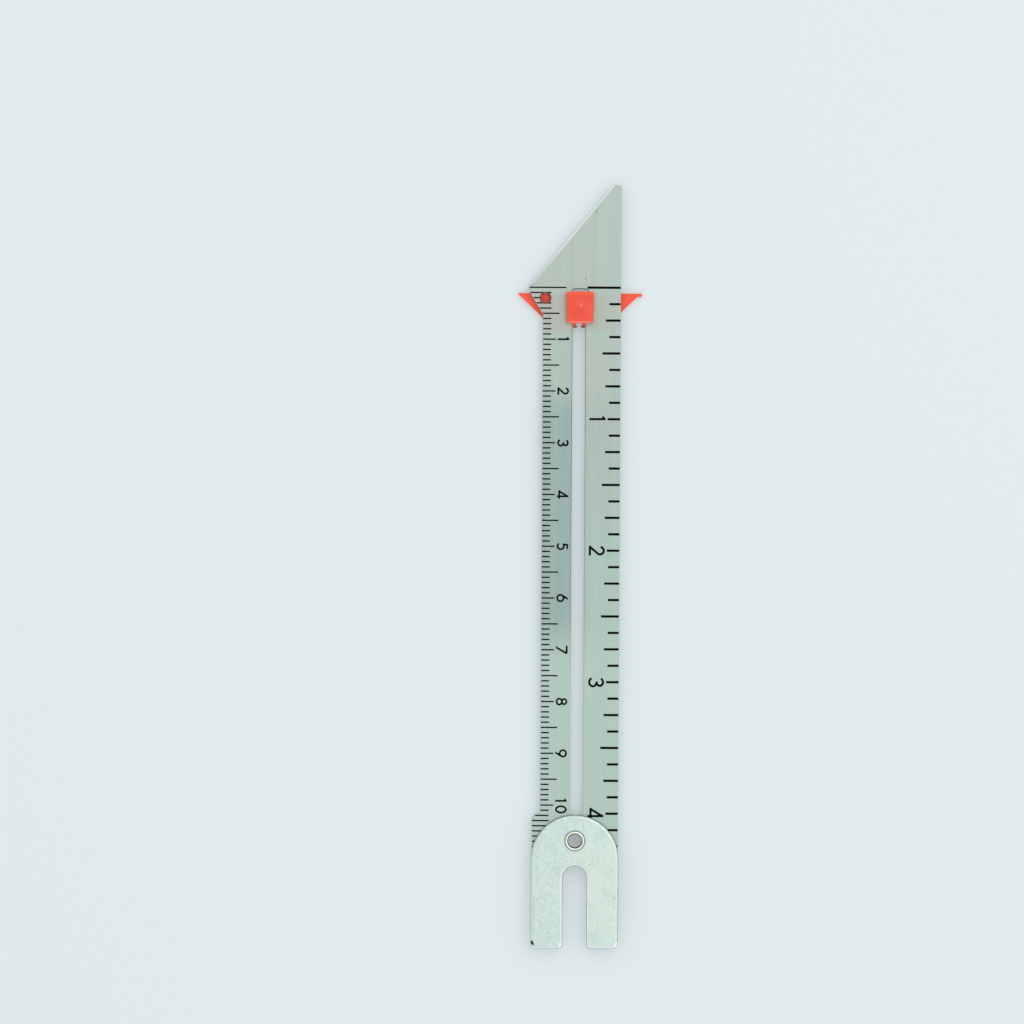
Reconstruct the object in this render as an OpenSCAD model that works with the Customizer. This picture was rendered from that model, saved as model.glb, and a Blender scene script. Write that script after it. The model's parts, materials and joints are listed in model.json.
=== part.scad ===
// A sewing gauge. A ruled metal blade ends in a slanted collar point, a plastic slider in its
// long slot reads the metric and the inch scale, and a button fork turns on a hollow rivet.
// The gauge lies on its back: X runs across it, Y along it towards the collar point, and Z up.
// The origin is on the rivet's axis, level with the blade's back face. Sizes are in millimetres.

/* [Blade] */
// Thickness of the blade's sheet
blade_t = 1; // [0.8:0.05:1.4]
// Width of the foot that carries the rivet, centred on it
foot_w = 16.66; // [15.6:0.02:18]
// How far the foot stands out past the ruled left edge
foot_step = 1.61; // [1:0.01:2.2]
// How far the head stands out past the ruled left edge
head_step = 2.67; // [2:0.01:3.4]
// Distance from the rivet's axis up to the zero line of both scales
zero_y = 106.85; // [104:0.05:120]
// Height of the foot's shoulder above the rivet's axis
shoulder_y = 5.2; // [4.4:0.1:6]
// How far the blade runs on below the rivet's axis, under the fork
foot_drop = 4.2; // [3.4:0.1:4.6]
// Radius of the shoulder's outer corner
shoulder_r = 1.3; // [0.4:0.05:1.5]
// Radius in the shoulder's inner corner
shoulder_inner_r = 0.25; // [0.1:0.05:0.4]
// Radius of the two corners at the blade's lower end
foot_r = 2; // [0.5:0.1:3]

/* [Collar point] */
// Slope of the collar point's long edge, measured from the zero line
collar_angle = 50.7; // [42:0.1:58]
// Width of the blunt tip
tip_w = 1.5; // [1.2:0.05:2.5]
// Radius of the tip's two corners
tip_r = 0.5; // [0.2:0.05:0.7]
// Straight edge between the zero line and the notch
notch_land = 0.8; // [0.6:0.02:1.4]
// Length of the notch's slope, measured along the blade
notch_len = 4.45; // [3.6:0.05:5.5]

/* [Slot] */
// Width of the slot that the slider runs in
slot_w = 2.5; // [2.2:0.05:3]
// Offset of the slot's centre line from the rivet's axis
slot_x = 0.25; // [-0.2:0.05:0.6]
// Metal between the zero line and the slot's upper end
slot_head_gap = 0.25; // [0.1:0.05:0.5]
// Distance from the rivet's axis up to the slot's lower end
slot_foot = 4.95; // [4.5:0.05:6.5]
// Width of the wider mouth at the slot's upper end
mouth_w = 3.1; // [3:0.05:4]
// Length of that mouth
mouth_len = 5.6; // [4:0.1:7]
// Rise of the arch at the mouth's upper end
mouth_rise = 0.45; // [0.2:0.05:0.6]
// Sideways offset of the mouth from the slot's centre line
mouth_shift = 0.22; // [0:0.02:0.4]

/* [Pencil hole] */
// Diameter of the small hole that takes a pencil point or a pin
pencil_d = 2.06; // [1.6:0.02:2.4]
// Distance of its centre in from the ruled edge
pencil_inset = 0.47; // [0.3:0.01:0.9]
// Distance of its centre below the zero line
pencil_drop = 2.05; // [1.8:0.05:2.6]

/* [Printed scales] */
// Thickness of the printed ink
ink_t = 0.03; // [0.02:0.005:0.04]
// Bare metal left between a printed line and an edge
ink_margin = 0.05; // [0.02:0.01:0.15]
// Bare ring left round the pencil hole
pencil_margin = 0.14; // [0.14:0.01:0.25]
// How far both scales run on past the rivet's axis
scale_over = 1.2; // [0:0.1:2]
// Width of the metric lines
mm_line = 0.27; // [0.15:0.01:0.3]
// Length of a millimetre line from the ruled edge
mm_len = 1.62; // [1.2:0.02:2]
// Length of a five millimetre line
five_len = 3.2; // [2.6:0.05:3.6]
// Length of a centimetre line
cm_len = 2.5; // [2:0.05:2.7]
// Length of the metric zero line from the ruled edge
mm_zero_len = 4.5; // [3.6:0.05:4.8]
// Width of the inch lines
inch_line = 0.46; // [0.3:0.02:0.5]
// Length of an eighth inch line from the right edge
eighth_len = 2.2; // [1.6:0.05:2.6]
// Length of a quarter inch line
quarter_len = 2.9; // [2.4:0.05:3.2]
// Length of a half inch line
half_len = 3.5; // [3:0.05:4]
// Length of a whole inch line
inch_len = 2.45; // [2:0.05:2.6]
// Length of the inch zero line
inch_zero_len = 6.45; // [5:0.05:6.6]

/* [Numerals] */
// Height of the centimetre numerals
mm_num_h = 2.25; // [1.8:0.05:2.6]
// Width of a centimetre one or two
mm_num_w = 1.4; // [1.2:0.05:1.6]
// Stroke of the centimetre numerals
mm_num_stroke = 0.36; // [0.2:0.01:0.38]
// Distance from the ruled edge to the foot of the centimetre numerals
mm_num_inset = 2.88; // [2.8:0.02:3.2]
// Height of the inch numerals
inch_num_h = 3.1; // [2.6:0.05:3.3]
// Width of an inch one or two
inch_num_w = 1.87; // [1.6:0.05:2.1]
// Stroke of the inch numerals
inch_num_stroke = 0.43; // [0.28:0.01:0.45]
// Distance from the right edge to the foot of the inch numerals
inch_num_inset = 5.93; // [5.9:0.02:6.2]

/* [Button fork] */
// How far the fork stands out past each side of the blade's foot
fork_overhang = 0.1; // [0:0.02:0.4]
// Thickness of the fork's sheet
fork_t = 1; // [0.8:0.05:1.4]
// Distance from the rivet's axis down to the ends of the legs
fork_len = 20.8; // [18:0.1:26]
// Distance from the rivet's axis up to the top of the round head
fork_top = 5; // [4.4:0.05:5.6]
// Width of the gap between the legs
fork_gap_w = 4.65; // [4.5:0.05:5.6]
// Metal between the rivet's axis and the top of that gap
fork_bridge = 4.8; // [3.6:0.05:6]
// Radius of the legs' outer corners
fork_outer_r = 1; // [0.4:0.05:1.8]
// Radius of the legs' inner corners
fork_inner_r = 0.7; // [0.2:0.05:1.2]
// Running gap between the blade's face and the fork
fork_lift = 0.05; // [0.045:0.005:0.1]

/* [Rivet] */
// Diameter of the rivet's bore
bore_d = 2.6; // [2.3:0.02:2.9]
// Wall of the rivet's barrel
barrel_wall = 0.2; // [0.15:0.01:0.22]
// Diameter of the rolled rim on the fork's side
rim_d = 3.9; // [3.8:0.02:4.4]
// Height of the rolled rim above its seat
rim_h = 0.4; // [0.3:0.02:0.6]
// Running gap between the fork's face and the rim
rim_lift = 0.05; // [0.02:0.01:0.1]
// Diameter of the flat head on the back
head_d = 4.6; // [4.4:0.05:5.4]
// Thickness of the flat head
head_t = 0.45; // [0.3:0.05:0.6]
// Clearance all round between the barrel and the holes it passes through
hole_clear = 0.05; // [0.02:0.01:0.08]

/* [Slider] */
// Reading at which the slider stands, below the zero line
reading = 1.1; // [0:0.1:60]
// Span of the pointer plate from tip to tip
pointer_span = 23.9; // [22:0.1:27]
// Height of the pointer's left tip
pointer_tip = 0.14; // [0.1:0.02:0.8]
// Height of its blunter right tip
blunt_tip = 0.75; // [0.2:0.05:1.2]
// Slope of the pointer plate's lower edges
pointer_slope = 44; // [38:0.5:48]
// Height of the pointer plate along the blade
pointer_h = 5.8; // [5:0.02:6.4]
// Sideways offset of the pointer plate and the button from the slot's centre line
slider_shift = 0.2; // [0:0.02:0.3]
// Thickness of the pointer plate
plate_t = 1; // [0.7:0.05:1.4]
// Running gap between the blade's back and the pointer plate
plate_gap = 0.1; // [0.05:0.01:0.2]
// Running gap between the neck and each side of the slot
slot_clear = 0.05; // [0.03:0.01:0.1]
// Distance from the reading edge down to the top of the neck
neck_drop = 0.4; // [0.3:0.05:0.8]
// Length of the solid neck in the slot
neck_len = 3.8; // [3:0.1:4.4]
// Width of each spring leg under the neck
leg_w = 0.75; // [0.5:0.05:0.85]
// Distance from the reading edge down to the ends of the spring legs
leg_end = 6.65; // [6.2:0.05:8]
// Gap between the spring legs and the face of the pointer plate
leg_lift = 0.2; // [0.1:0.05:0.4]
// Width of the stud that holds the button
stud_w = 1.5; // [1:0.05:1.8]
// Length of the stud
stud_len = 2.6; // [2:0.1:3]
// Height of the stud above the neck
stud_h = 1.1; // [0.8:0.05:1.2]
// Fitting gap between the stud and the button's pocket
stud_clear = 0.02; // [0.01:0.01:0.05]

/* [Slider button] */
// Width of the button at its upper end
button_w = 5.32; // [4.8:0.02:6.5]
// Width of the button at its lower end
button_foot_w = 5.1; // [4.6:0.05:6]
// Length of the button from corner to corner
button_len = 5.84; // [5.2:0.02:6]
// Thickness of the button
button_t = 1.8; // [1.6:0.05:2.4]
// How far the button's upper corners stand above the reading edge
button_rise = 0.16; // [0.1:0.02:0.6]
// Bulge of the button's upper and lower ends
button_bulge = 0.16; // [0.08:0.01:0.3]
// Running gap between the blade's face and the button
button_lift = 0.1; // [0.08:0.01:0.2]

/* [Hidden] */
$fn = 96;
past = 1;

cm = 10;
inch = 25.4;
eighth = inch / 8;
ring_sides = 24;
right_x = foot_w / 2;
foot_x = -foot_w / 2;
rule_x = foot_x + foot_step;
head_x = rule_x - head_step;
notch_top = zero_y - notch_land;
notch_foot = notch_top - notch_len;
tip_y = zero_y + (right_x - head_x - tip_w) * tan(collar_angle);
shoulder_fit = min(shoulder_r, foot_step - shoulder_inner_r);

slot_top = zero_y - slot_head_gap;
slot_low = slot_foot + slot_w / 2;
pencil_at = [rule_x + pencil_inset, zero_y - pencil_drop];

scale_len = zero_y + scale_over;
cm_count = floor(zero_y / cm);
inch_count = floor(zero_y / inch);

barrel_r = bore_d / 2 + barrel_wall;
hole_r = barrel_r + hole_clear;
fork_w = foot_w + 2 * fork_overhang;
fork_z = blade_t + fork_lift;
fork_head_y = fork_top - fork_w / 2;
fork_gap_y = -fork_bridge - fork_gap_w / 2;
rim_z = fork_z + fork_t + rim_lift;
rim_roll = (rim_d - bore_d) / 4;

edge_y = zero_y - reading;
slider_x = slot_x + slider_shift;
mouth_x = slot_x + mouth_shift;
plate_z = -plate_gap - plate_t;
pointer_foot = pointer_span / 2 - (pointer_h - pointer_tip) / tan(pointer_slope);
neck_w = slot_w - 2 * slot_clear;
neck_top = edge_y - neck_drop;
neck_foot = neck_top - neck_len;
button_z = blade_t + button_lift;
button_top = edge_y + button_rise;
stud_foot = neck_top - neck_len / 2 - stud_len / 2;

// Unit vector at an angle from the X axis
function heading(angle) = [cos(angle), sin(angle)];

// Vector v at length 1
function unit(v) = v / norm(v);

// Vector v turned a quarter turn to the left
function left_of(v) = [-v.y, v.x];

// Points along an ellipse about c, from one angle to another
function arc_points(c, rx, ry, from, to, steps = 12) =
    [for (i = [0:steps]) c + [rx * cos(from + (to - from) * i / steps),
                              ry * sin(from + (to - from) * i / steps)]];

// Where the edge of a band of width s lies beside point i of a path, with mitred corners
function beside(path, i, s) =
    let (last = len(path) - 1)
    let (ahead = unit(path[min(i + 1, last)] - path[min(i, last - 1)]))
    let (behind = unit(path[max(i, 1)] - path[max(i - 1, 0)]))
    let (across = left_of(unit(ahead + behind)))
    path[i] + across * s / 2 / (across * left_of(ahead));

// Left edge of the blade at height y, with the rounded shoulder of the foot
function left_edge(y) =
    y > notch_top ? head_x
    : y > notch_foot ? head_x + (notch_top - y) * head_step / notch_len
    : y > shoulder_y ? rule_x
    : y > shoulder_y - shoulder_fit
        ? foot_x + shoulder_fit - sqrt(pow(shoulder_fit, 2) - pow(y - shoulder_y + shoulder_fit, 2))
    : foot_x;

// Patch between a sharp corner at p and the arc of radius r that touches both its edges.
// The edges leave p at the angles a and b.
module corner_patch(p, a, b, r) {
    half = abs(b - a) / 2;
    centre = p + heading((a + b) / 2) * r / sin(half);
    reach = r / tan(half);
    difference() {
        polygon([p, p + reach * heading(a), centre, p + reach * heading(b)]);
        translate(centre) circle(r);
    }
}

// Upper edge of the slot's mouth: a flat arch with squared shoulders, which is an ellipse whose
// cosine and sine are each raised to the power of two thirds
function mouth_arch(steps = 24) =
    [for (i = [0:steps]) let (a = 180 * i / steps)
        [mouth_x + sign(cos(a)) * pow(abs(cos(a)), 2 / 3) * mouth_w / 2,
         slot_top - mouth_rise + mouth_rise * pow(sin(a), 2 / 3)]];

// Slot with a round lower end and a wider mouth at its upper end
module slot_outline() {
    mouth_low = slot_top - mouth_len;
    translate([slot_x, slot_low]) circle(d = slot_w);
    translate([slot_x - slot_w / 2, slot_low]) square([slot_w, slot_top - mouth_len / 2 - slot_low]);
    polygon(concat([[mouth_x - mouth_w / 2, mouth_low], [mouth_x + mouth_w / 2, mouth_low]], mouth_arch()));
}

module blade_outline() {
    difference() {
        polygon([
            [foot_x, -foot_drop],
            [right_x, -foot_drop],
            [right_x, tip_y],
            [right_x - tip_w, tip_y],
            [head_x, zero_y],
            [head_x, notch_top],
            [rule_x, notch_foot],
            [rule_x, shoulder_y],
            [foot_x, shoulder_y]
        ]);
        corner_patch([foot_x, -foot_drop], 0, 90, foot_r);
        corner_patch([right_x, -foot_drop], 90, 180, foot_r);
        corner_patch([right_x, tip_y], 180, 270, tip_r);
        corner_patch([right_x - tip_w, tip_y], 180 + collar_angle, 360, tip_r);
        corner_patch([foot_x, shoulder_y], -90, 0, shoulder_fit);
    }
    corner_patch([rule_x, shoulder_y], 90, 180, shoulder_inner_r);
}

module blade() {
    color([0.69, 0.77, 0.73])
    difference() {
        linear_extrude(blade_t) blade_outline();
        translate([0, 0, -past]) linear_extrude(blade_t + 2 * past) slot_outline();
        translate([0, 0, -past]) cylinder(r = hole_r, h = blade_t + 2 * past);
        translate([pencil_at.x, pencil_at.y, -past]) cylinder(d = pencil_d, h = blade_t + 2 * past);
    }
}

// Ink line of width s at height y, from x0 to x1 on the blade's face
module ink_line(x0, x1, y, s) {
    translate([x0, y - s / 2, blade_t]) cube([x1 - x0, s, ink_t]);
}

function metric_len(i) = i == 0 ? mm_zero_len : i % cm == 0 ? cm_len : i % (cm / 2) == 0 ? five_len : mm_len;

module metric_ticks() {
    color([0.06, 0.06, 0.07])
    difference() {
        for (i = [0:floor(scale_len)]) {
            y = zero_y - i;
            start = max(left_edge(y - mm_line / 2), left_edge(y + mm_line / 2)) + ink_margin;
            ink_line(start, rule_x + metric_len(i), y, mm_line);
        }
        translate([pencil_at.x, pencil_at.y, blade_t - past])
            cylinder(r = pencil_d / 2 + pencil_margin, h = 2 * past, $fn = 12);
    }
}

function eighths_len(i) =
    i == 0 ? inch_zero_len : i % 8 == 0 ? inch_len : i % 4 == 0 ? half_len : i % 2 == 0 ? quarter_len : eighth_len;

module inch_ticks() {
    color([0.06, 0.06, 0.07])
    for (i = [0:floor(scale_len / eighth)])
        ink_line(right_x - eighths_len(i), right_x - ink_margin, zero_y - i * eighth, inch_line);
}

// Band of width s along a path, with square ends
module stroke(path, s) {
    polygon(concat(
        [for (i = [0:len(path) - 1]) beside(path, i, s)],
        [for (i = [len(path) - 1:-1:0]) beside(path, i, -s)]
    ));
}

// Closed band of width s round an ellipse about c
module ring(c, rx, ry, s) {
    last = 360 - 360 / ring_sides;
    difference() {
        polygon(arc_points(c, rx + s / 2, ry + s / 2, 0, last, ring_sides - 1));
        polygon(arc_points(c, rx - s / 2, ry - s / 2, 0, last, ring_sides - 1));
    }
}

// The bowl and the straight back of a six, which is also a nine upside down
module six(w, h, s) {
    bowl = (w - s) / 2;
    lean = 58;
    foot = [bowl, bowl] + bowl * heading(lean + 90);
    ring([bowl, bowl], bowl, bowl, s);
    stroke([foot, foot + h * heading(lean)], s);
}

// Strokes of one digit, along centre lines that fill a box of width w - s and height h - s
module digit_strokes(n, w, h, s) {
    wide = w - s;
    high = h - s;
    mid = wide / 2;
    low_bowl = 0.27 * high;
    top_bowl = high / 2 - low_bowl;
    if (n == 0) ring([mid, high / 2], mid, high / 2, s);
    if (n == 1) {
        stroke([[mid, -s], [mid, h]], s);
        stroke([[mid - 0.165 * h, high - 0.11 * h], [mid, high]], s);
    }
    if (n == 2) {
        stroke(concat(arc_points([mid, high - mid], mid, mid, 172, -36), [[-s / 2, -s / 2]]), s);
        stroke([[-s, 0], [wide + s / 2, 0]], s);
    }
    if (n == 3) {
        stroke(arc_points([mid, high - top_bowl], 0.44 * wide, top_bowl, 160, -100), s);
        stroke(arc_points([mid, low_bowl], mid, low_bowl, 100, -160), s);
    }
    if (n == 4) {
        stem = 0.77 * wide;
        bar = 0.15 * high;
        stroke([[stem, -s], [stem, h]], s);
        stroke([[-s / 2, bar], [wide + s / 2, bar]], s);
        stroke([[0, bar], [stem, high]], s);
    }
    if (n == 5) {
        stroke([[0.94 * wide, high], [0.26 * wide, high], [0.14 * wide, 0.56 * high]], s);
        stroke(arc_points([0.48 * wide, 0.33 * high], 0.52 * wide, 0.33 * high, 128, -148), s);
    }
    if (n == 6) six(w, h, s);
    if (n == 7) {
        stroke([[-s / 4, high], [wide, high]], s);
        stroke([[wide, high], [0.06 * wide, -s]], s);
    }
    if (n == 8) {
        ring([mid, high - top_bowl], 0.44 * wide, top_bowl, s);
        ring([mid, low_bowl], mid, low_bowl, s);
    }
    if (n == 9) translate([wide, high]) rotate(180) six(w, h, s);
}

// One digit in a box of width w and height h, with strokes of width s
module digit(n, w, h, s) {
    intersection() {
        square([w, h]);
        translate([s / 2, s / 2]) digit_strokes(n, w, h, s);
    }
}

// How wide each digit from 0 to 9 is, as a share of a one or a two
digit_share = [1.14, 1, 1, 1.1, 1.17, 1.08, 1.14, 1.26, 1.08, 1.14];

// One digit in its own width, centred on x
module centred_digit(n, x, w, h, s) {
    own_w = w * digit_share[n];
    translate([x - own_w / 2, 0]) digit(n, own_w, h, s);
}

// Ink number whose foot is at x, centred on the line at height y, read from the right-hand side
module ink_number(n, x, y, w, h, s) {
    pair_shift = 0.59 * w;
    translate([x, y, blade_t]) linear_extrude(ink_t) rotate(-90)
        if (n < 10) centred_digit(n, 0, w, h, s);
        else {
            centred_digit(1, -pair_shift, w, h, s);
            centred_digit(n - 10, pair_shift, w, h, s);
        }
}

module metric_numerals() {
    color([0.06, 0.06, 0.07])
    for (n = [1:cm_count])
        ink_number(n, rule_x + mm_num_inset, zero_y - cm * n, mm_num_w, mm_num_h, mm_num_stroke);
}

module inch_numerals() {
    color([0.06, 0.06, 0.07])
    for (n = [1:inch_count])
        ink_number(n, right_x - inch_num_inset, zero_y - inch * n, inch_num_w, inch_num_h, inch_num_stroke);
}

module fork_outline() {
    difference() {
        union() {
            translate([0, fork_head_y]) circle(d = fork_w);
            translate([-fork_w / 2, -fork_len]) square([fork_w, fork_len + fork_head_y]);
        }
        translate([0, fork_gap_y]) circle(d = fork_gap_w);
        translate([-fork_gap_w / 2, -fork_len - past]) square([fork_gap_w, fork_len + past + fork_gap_y]);
        corner_patch([-fork_w / 2, -fork_len], 0, 90, fork_outer_r);
        corner_patch([fork_w / 2, -fork_len], 90, 180, fork_outer_r);
        corner_patch([-fork_gap_w / 2, -fork_len], 90, 180, fork_inner_r);
        corner_patch([fork_gap_w / 2, -fork_len], 0, 90, fork_inner_r);
    }
}

module button_fork() {
    color([0.81, 0.87, 0.84])
    translate([0, 0, fork_z])
        difference() {
            linear_extrude(fork_t) fork_outline();
            translate([0, 0, -past]) cylinder(r = hole_r, h = fork_t + 2 * past);
        }
}

// Half section of the rivet: a barrel, a flat head behind the blade and a rolled rim over the fork
module rivet_section() {
    roll_z = rim_z + rim_h - rim_roll;
    translate([bore_d / 2, -head_t]) square([barrel_wall, head_t + roll_z]);
    translate([bore_d / 2, -head_t]) square([(head_d - bore_d) / 2, head_t]);
    intersection() {
        union() {
            translate([bore_d / 2 + rim_roll, roll_z]) circle(r = rim_roll);
            translate([bore_d / 2, rim_z]) square([2 * rim_roll, roll_z - rim_z]);
        }
        translate([bore_d / 2, rim_z]) square([2 * rim_roll, rim_h]);
    }
}

module rivet() {
    color([0.86, 0.84, 0.76])
    rotate_extrude() rivet_section();
}

// Plate behind the blade, cut off where the lower edges come to their foot
module pointer_outline() {
    stub_x = pointer_span / 2 - (blunt_tip - pointer_tip) / tan(pointer_slope);
    polygon([
        [slider_x - pointer_span / 2, edge_y],
        [slider_x - pointer_span / 2, edge_y - pointer_tip],
        [slider_x - pointer_foot, edge_y - pointer_h],
        [slider_x + pointer_foot, edge_y - pointer_h],
        [slider_x + stub_x, edge_y - blunt_tip],
        [slider_x + pointer_span / 2, edge_y - blunt_tip],
        [slider_x + pointer_span / 2, edge_y]
    ]);
}

// Pointer plate with the neck, the spring legs and the stud that carry the button
module pointer_plate() {
    leg_z = leg_lift - plate_gap;
    color([0.95, 0.33, 0.24]) {
        translate([0, 0, plate_z]) linear_extrude(plate_t) pointer_outline();
        translate([slot_x - neck_w / 2, neck_foot, -plate_gap]) cube([neck_w, neck_len, plate_gap + button_z]);
        for (side = [-1, 1])
            translate([slot_x + side * (neck_w - leg_w) / 2 - leg_w / 2, edge_y - leg_end, leg_z])
                cube([leg_w, neck_foot - edge_y + leg_end, blade_t - leg_z]);
        translate([slot_x - stud_w / 2, stud_foot, button_z]) cube([stud_w, stud_len, stud_h]);
    }
}

// Radius of an arc that rises by the bulge over a chord
function bulge_r(chord) = (pow(chord / 2, 2) + pow(button_bulge, 2)) / (2 * button_bulge);

module button_outline() {
    top = button_top + button_bulge;
    foot = button_top - button_len - button_bulge;
    intersection() {
        translate([slider_x, 0]) polygon([
            [-button_foot_w / 2, foot],
            [button_foot_w / 2, foot],
            [button_w / 2, top],
            [-button_w / 2, top]
        ]);
        translate([slider_x, top - bulge_r(button_w)]) circle(r = bulge_r(button_w));
        translate([slider_x, foot + bulge_r(button_foot_w)]) circle(r = bulge_r(button_foot_w));
    }
}

module slider_button() {
    color([0.97, 0.36, 0.27])
    difference() {
        translate([0, 0, button_z]) linear_extrude(button_t) button_outline();
        translate([slot_x - stud_w / 2 - stud_clear, stud_foot - stud_clear, button_z - past])
            cube([stud_w + 2 * stud_clear, stud_len + 2 * stud_clear, past + stud_h + stud_clear]);
    }
}

blade();
metric_ticks();
metric_numerals();
inch_ticks();
inch_numerals();
button_fork();
rivet();
pointer_plate();
slider_button();
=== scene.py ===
import json

import bpy
import numpy as np
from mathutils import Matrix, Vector
from mathutils.geometry import tessellate_polygon


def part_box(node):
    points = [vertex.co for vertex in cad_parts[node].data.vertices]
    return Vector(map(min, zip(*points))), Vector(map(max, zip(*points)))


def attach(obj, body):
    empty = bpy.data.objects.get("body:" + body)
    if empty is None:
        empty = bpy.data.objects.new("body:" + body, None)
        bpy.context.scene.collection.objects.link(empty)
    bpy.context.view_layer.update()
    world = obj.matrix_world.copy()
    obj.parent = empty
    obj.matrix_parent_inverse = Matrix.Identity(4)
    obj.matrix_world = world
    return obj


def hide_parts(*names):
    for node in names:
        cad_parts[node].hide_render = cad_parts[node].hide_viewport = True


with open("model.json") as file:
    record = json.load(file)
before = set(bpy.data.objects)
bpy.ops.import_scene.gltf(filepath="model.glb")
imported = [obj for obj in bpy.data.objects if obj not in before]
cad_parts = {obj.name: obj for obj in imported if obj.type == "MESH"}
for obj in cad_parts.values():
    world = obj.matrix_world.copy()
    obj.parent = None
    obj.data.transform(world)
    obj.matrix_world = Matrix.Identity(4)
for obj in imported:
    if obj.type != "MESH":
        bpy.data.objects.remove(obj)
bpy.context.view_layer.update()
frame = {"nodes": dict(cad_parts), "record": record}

# The gauge lies on its back: X runs across it, Y along it towards the collar point, and Z up.
# The origin is on the rivet's axis, level with the blade's back face. Everything is in metres,
# and a hair is a length too small to see.
mm = 0.001
hair = 0.001 * mm

blade_low, blade_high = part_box("blade")
fork_low, fork_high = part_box("button_fork")
rivet_low, rivet_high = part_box("rivet")
pointer_low, pointer_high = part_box("pointer_plate")
button_low, button_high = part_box("slider_button")
mounts = {mount["name"]: mount for mount in frame["record"]["mounts"]}
bore_r = mounts["rivet_bore"]["dims"]["r_mm"] * mm
pencil_r = mounts["pencil_hole"]["dims"]["r_mm"] * mm
pencil_at = mounts["pencil_hole"]["pos_m"][:2]

# Blade
rule_x = blade_low.x + 2.67 * mm
foot_x = -blade_high.x
zero_y = 106.85 * mm
shoulder_y = 5.2 * mm
notch_top = zero_y - 0.8 * mm
notch_foot = notch_top - 4.45 * mm
tip_w = 1.5 * mm
barrel_hole_r = bore_r + 0.25 * mm
blade_roll = 0.08 * mm
blade_back_r = 0.04 * mm

# Direction of the collar point's slant, from the zero line up to the tip. Its ground edge spreads wider
# than the blade's other edges, wherever the outline runs along the slant to within a cosine
slant_run = np.array([blade_high.x - tip_w - blade_low.x, blade_high.y - zero_y])
slant = slant_run / np.linalg.norm(slant_run)
slant_grind = 2.6
slant_in_line = 0.9

# Slot and its mouth
slot_x = 0.25 * mm
slot_w = 2.5 * mm
slot_low = 4.95 * mm
slot_high = zero_y - 0.25 * mm
mouth_x = slot_x + 0.22 * mm
mouth_w = 3.1 * mm
mouth_low = slot_high - 5.6 * mm
mouth_rise = 0.45 * mm
# Width of the painted shade line along the arch
arch_shade_w = 0.13 * mm

# Button fork
gap_w = 4.65 * mm
gap_high = -4.8 * mm
fork_back_r = 0.06 * mm
fork_roll = 0.34 * mm
fork_roll_spread = 1.5
nick_at = (-8.12 * mm, -19.72 * mm)
nick_along = np.array([0.485, -0.875])
nick_len = 0.62 * mm
nick_w = 0.3 * mm
nick_depth = 0.16 * mm
nick_low_z = fork_low.z + 0.3 * mm

# Rivet
barrel_r = bore_r + 0.2 * mm
rim_r = 1.95 * mm
rim_low = fork_high.z + 0.05 * mm
rim_swell = 0.012

# Slider's half behind the blade
pointer_tip = 0.14 * mm
blunt_tip = 0.75 * mm
pointer_len = 5.8 * mm
pointer_slope = np.radians(44)
right_trim = 0.4 * mm
pointer_low_y = pointer_high.y - pointer_len
pointer_foot_w = pointer_high.x - pointer_low.x - 2 * (pointer_len - pointer_tip) / np.tan(pointer_slope)
plate_high_z = blade_low.z - 0.1 * mm
plate_edge_r = 0.03 * mm
neck_w = slot_w - 0.1 * mm
neck_high_y = pointer_high.y - 0.4 * mm
neck_low_y = neck_high_y - 3.8 * mm
neck_edge_r = 0.02 * mm
leg_low_y = pointer_high.y - 6.65 * mm
leg_low_z = 0.1 * mm
leg_back_r = 0.05 * mm
leg_w = 0.6 * mm
leg_edge_r = 0.12 * mm
leg_foot_w = 0.85 * mm
leg_foot_len = 0.42 * mm
leg_foot_drop = 0.12 * mm
leg_foot_edge_r = 0.16 * mm

# Slider's half in front of the blade
button_foot_w = 5.1 * mm
button_corner_r = 0.2 * mm
button_back_r = 0.06 * mm
button_edge_r = 0.16 * mm
button_bulge = 0.16 * mm
button_crown = 0.12 * mm
gate_at = (0.19 * mm, 0.41 * mm)
gate_r = 0.45 * mm
gate_depth = 0.07 * mm
nub_share = 0.45
nub_height = 1.1


def left_of(v):
    """Every row of v turned a quarter turn to the left."""
    return np.stack([-v[..., 1], v[..., 0]], -1)


def unit(v):
    """Every row of v at length 1."""
    return v / np.linalg.norm(v, axis=-1, keepdims=True)


def hump(apart):
    """Half a cosine wave: 1 at a distance of 0, falling to 0 at 1 and beyond."""
    return (1 + np.cos(np.pi * np.minimum(apart, 1))) / 2


def rounded(corners, radii, steps=14):
    """Closed outline whose corners are arcs.

    An arc of radius r touches both sides of its corner. Its centre lies on the bisector, r / sin(h) from
    the corner, where h is half the corner's angle, and its points turn evenly from one side to the other.
    """
    corners = np.asarray(corners, float)
    radii = np.broadcast_to(np.asarray(radii, float), len(corners))[:, None]
    back = unit(np.roll(corners, 1, 0) - corners)
    ahead = unit(np.roll(corners, -1, 0) - corners)
    half = np.arccos(np.sum(back * ahead, 1, keepdims=True)) / 2
    centre = corners + unit(back + ahead) * radii / np.sin(half)
    start = corners + back * radii / np.tan(half) - centre
    stop = corners + ahead * radii / np.tan(half) - centre
    sweep = np.pi - 2 * half[:, None]
    t = np.linspace(0, 1, steps + 1)[None, :, None]
    arcs = (np.sin((1 - t) * sweep) * start[:, None] + np.sin(t * sweep) * stop[:, None]) / np.sin(sweep)
    points = (centre[:, None] + arcs).reshape(-1, 2)
    apart = np.linalg.norm(points - np.roll(points, 1, 0), axis=1) > hair
    return points[apart]


def box_outline(x_low, x_high, y_low, y_high, radii):
    """Rounded rectangle, anticlockwise from its lower left corner."""
    return rounded([(x_low, y_low), (x_high, y_low), (x_high, y_high), (x_low, y_high)], radii)


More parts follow.
